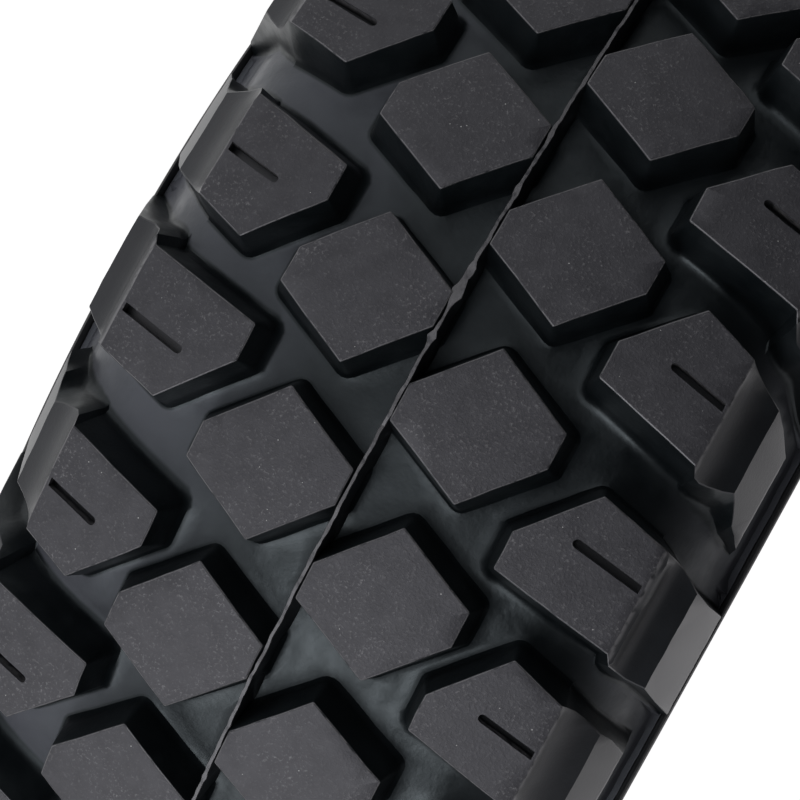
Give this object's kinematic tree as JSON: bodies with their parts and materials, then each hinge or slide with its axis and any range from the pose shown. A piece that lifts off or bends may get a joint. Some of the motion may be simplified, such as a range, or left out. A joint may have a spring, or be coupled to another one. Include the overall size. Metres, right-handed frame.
{
  "type": "pneumatic block-tread tyre",
  "caption": "Small pneumatic snow machine tyre with staggered lozenge tread blocks, siped shoulder blocks and stepped buttresses, built up in layers and lying on its side.",
  "frame": {"origin": "on the tyre's axis, in the plane of the sidewall rib face that the tyre lies on", "axes": "+Z is the tyre's rotation axis, pointing up through the bore; +X is a radius; the equator is at z = 0.048 m"},
  "size_m": [0.272, 0.272, 0.096],
  "materials": {
    "tread_rubber": "matte moulded tread rubber with fine grain and dust",
    "sidewall_rubber": "smooth satin moulded rubber",
    "cushion_rubber": "matte",
    "liner_rubber": "satin with bladder vent lines",
    "ply_fabric": "rubber-coated nylon cord",
    "chafer_fabric": "rubber-coated square-woven fabric",
    "bead_wire": "bronze-plated steel wire"
  },
  "bodies": {
    "root": {"tread_cap": "tread_rubber", "tread_base": "cushion_rubber", "breaker_outer": "ply_fabric", "breaker_inner": "ply_fabric", "carcass_ply_outer": "ply_fabric", "carcass_ply_inner": "ply_fabric", "inner_liner": "liner_rubber", "sidewall_upper": "sidewall_rubber", "sidewall_lower": "sidewall_rubber", "shoulder_cushion_upper": "cushion_rubber", "shoulder_cushion_lower": "cushion_rubber", "chafer_upper": "chafer_fabric", "chafer_lower": "chafer_fabric", "bead_filler_upper": "cushion_rubber", "bead_filler_lower": "cushion_rubber", "bead_wrap_upper": "ply_fabric", "bead_wrap_lower": "ply_fabric", "bead_wire_upper": "bead_wire", "bead_wire_lower": "bead_wire"}
  },
  "joints": []
}
